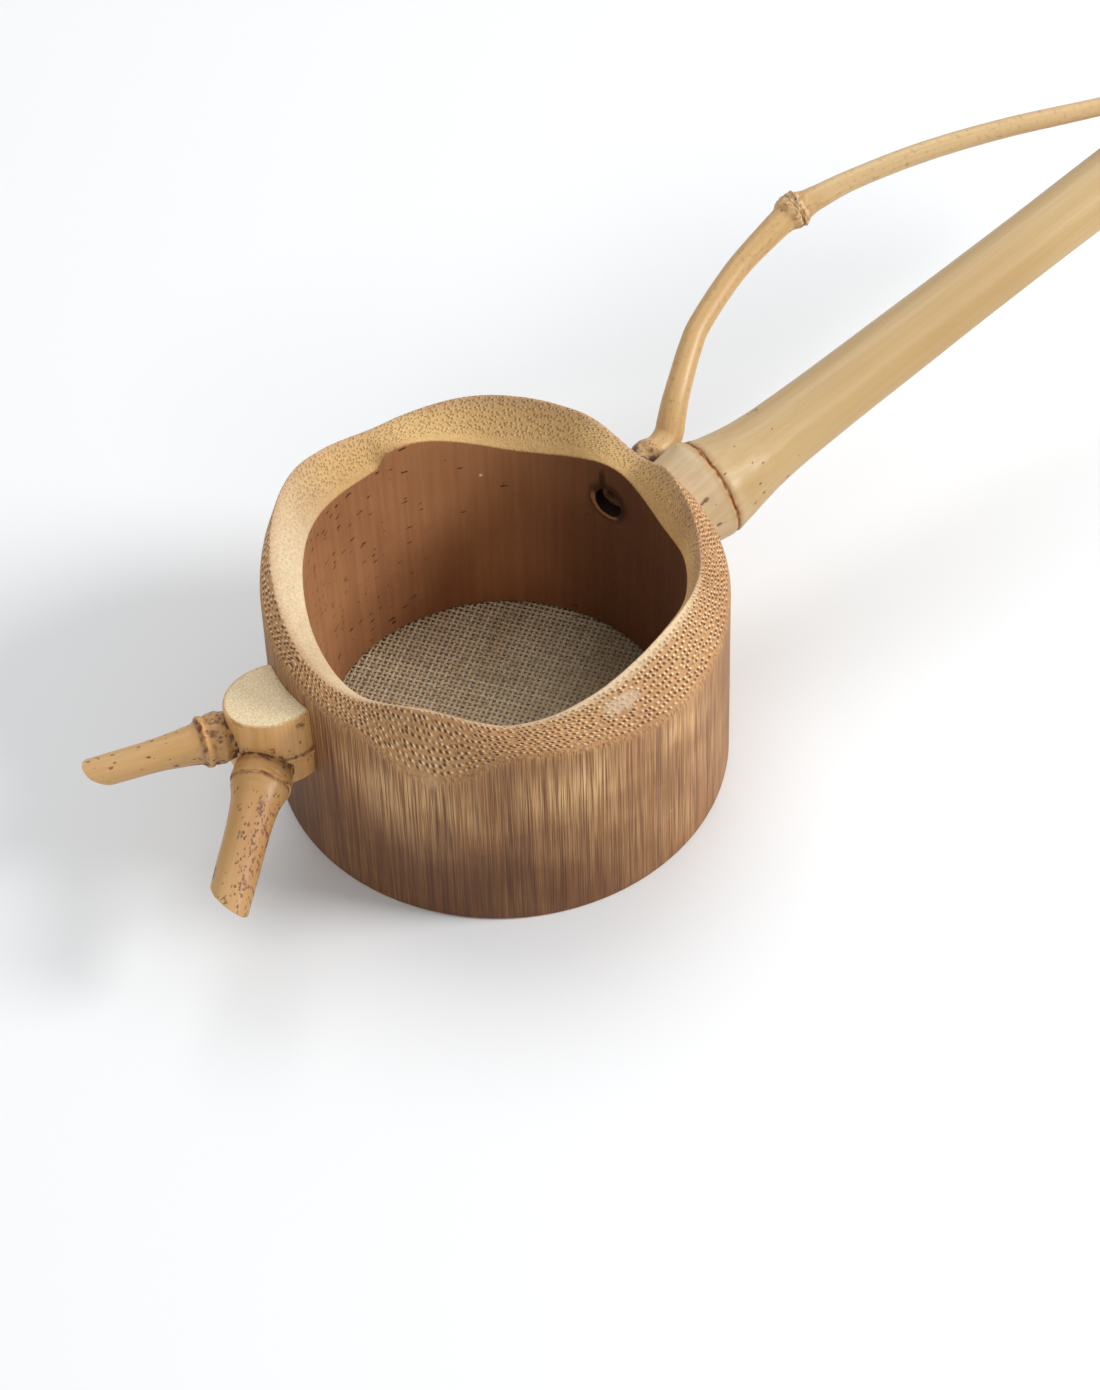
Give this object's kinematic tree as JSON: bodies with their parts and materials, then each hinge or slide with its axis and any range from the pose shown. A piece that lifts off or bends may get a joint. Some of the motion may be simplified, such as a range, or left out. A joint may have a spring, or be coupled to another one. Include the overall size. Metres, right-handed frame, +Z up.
{
  "type": "tea strainer",
  "caption": "Bamboo tea strainer: carved culm cup with a linen gauze bottom, a rising branch handle with a looping side twig, and a forked pitcher rest.",
  "frame": {"origin": "bottom centre of the bounding box, at the height of the cup's base", "axes": "+X along the handle, away from the cup; +Z up, along the cup's axis; the pitcher rest points to -X"},
  "size_m": [0.2076, 0.062, 0.0549],
  "materials": {
    "cup_bamboo": "carbonised bamboo culm, scraped and unvarnished, with fibre streaks and pores on the cut rim",
    "branch_bamboo": "smooth waxed bamboo branch with brown node rings",
    "split_bamboo": "split bamboo, plain and matt",
    "linen_gauze": "open plain weave of undyed linen thread"
  },
  "bodies": {
    "root": {"cup_body": "cup_bamboo", "cloth_hoop": "split_bamboo", "filter_cloth": "linen_gauze", "handle": "branch_bamboo", "handle_dowel": "split_bamboo", "side_branch": "branch_bamboo", "rest_fork": "branch_bamboo", "rest_dowel": "split_bamboo"}
  },
  "joints": []
}
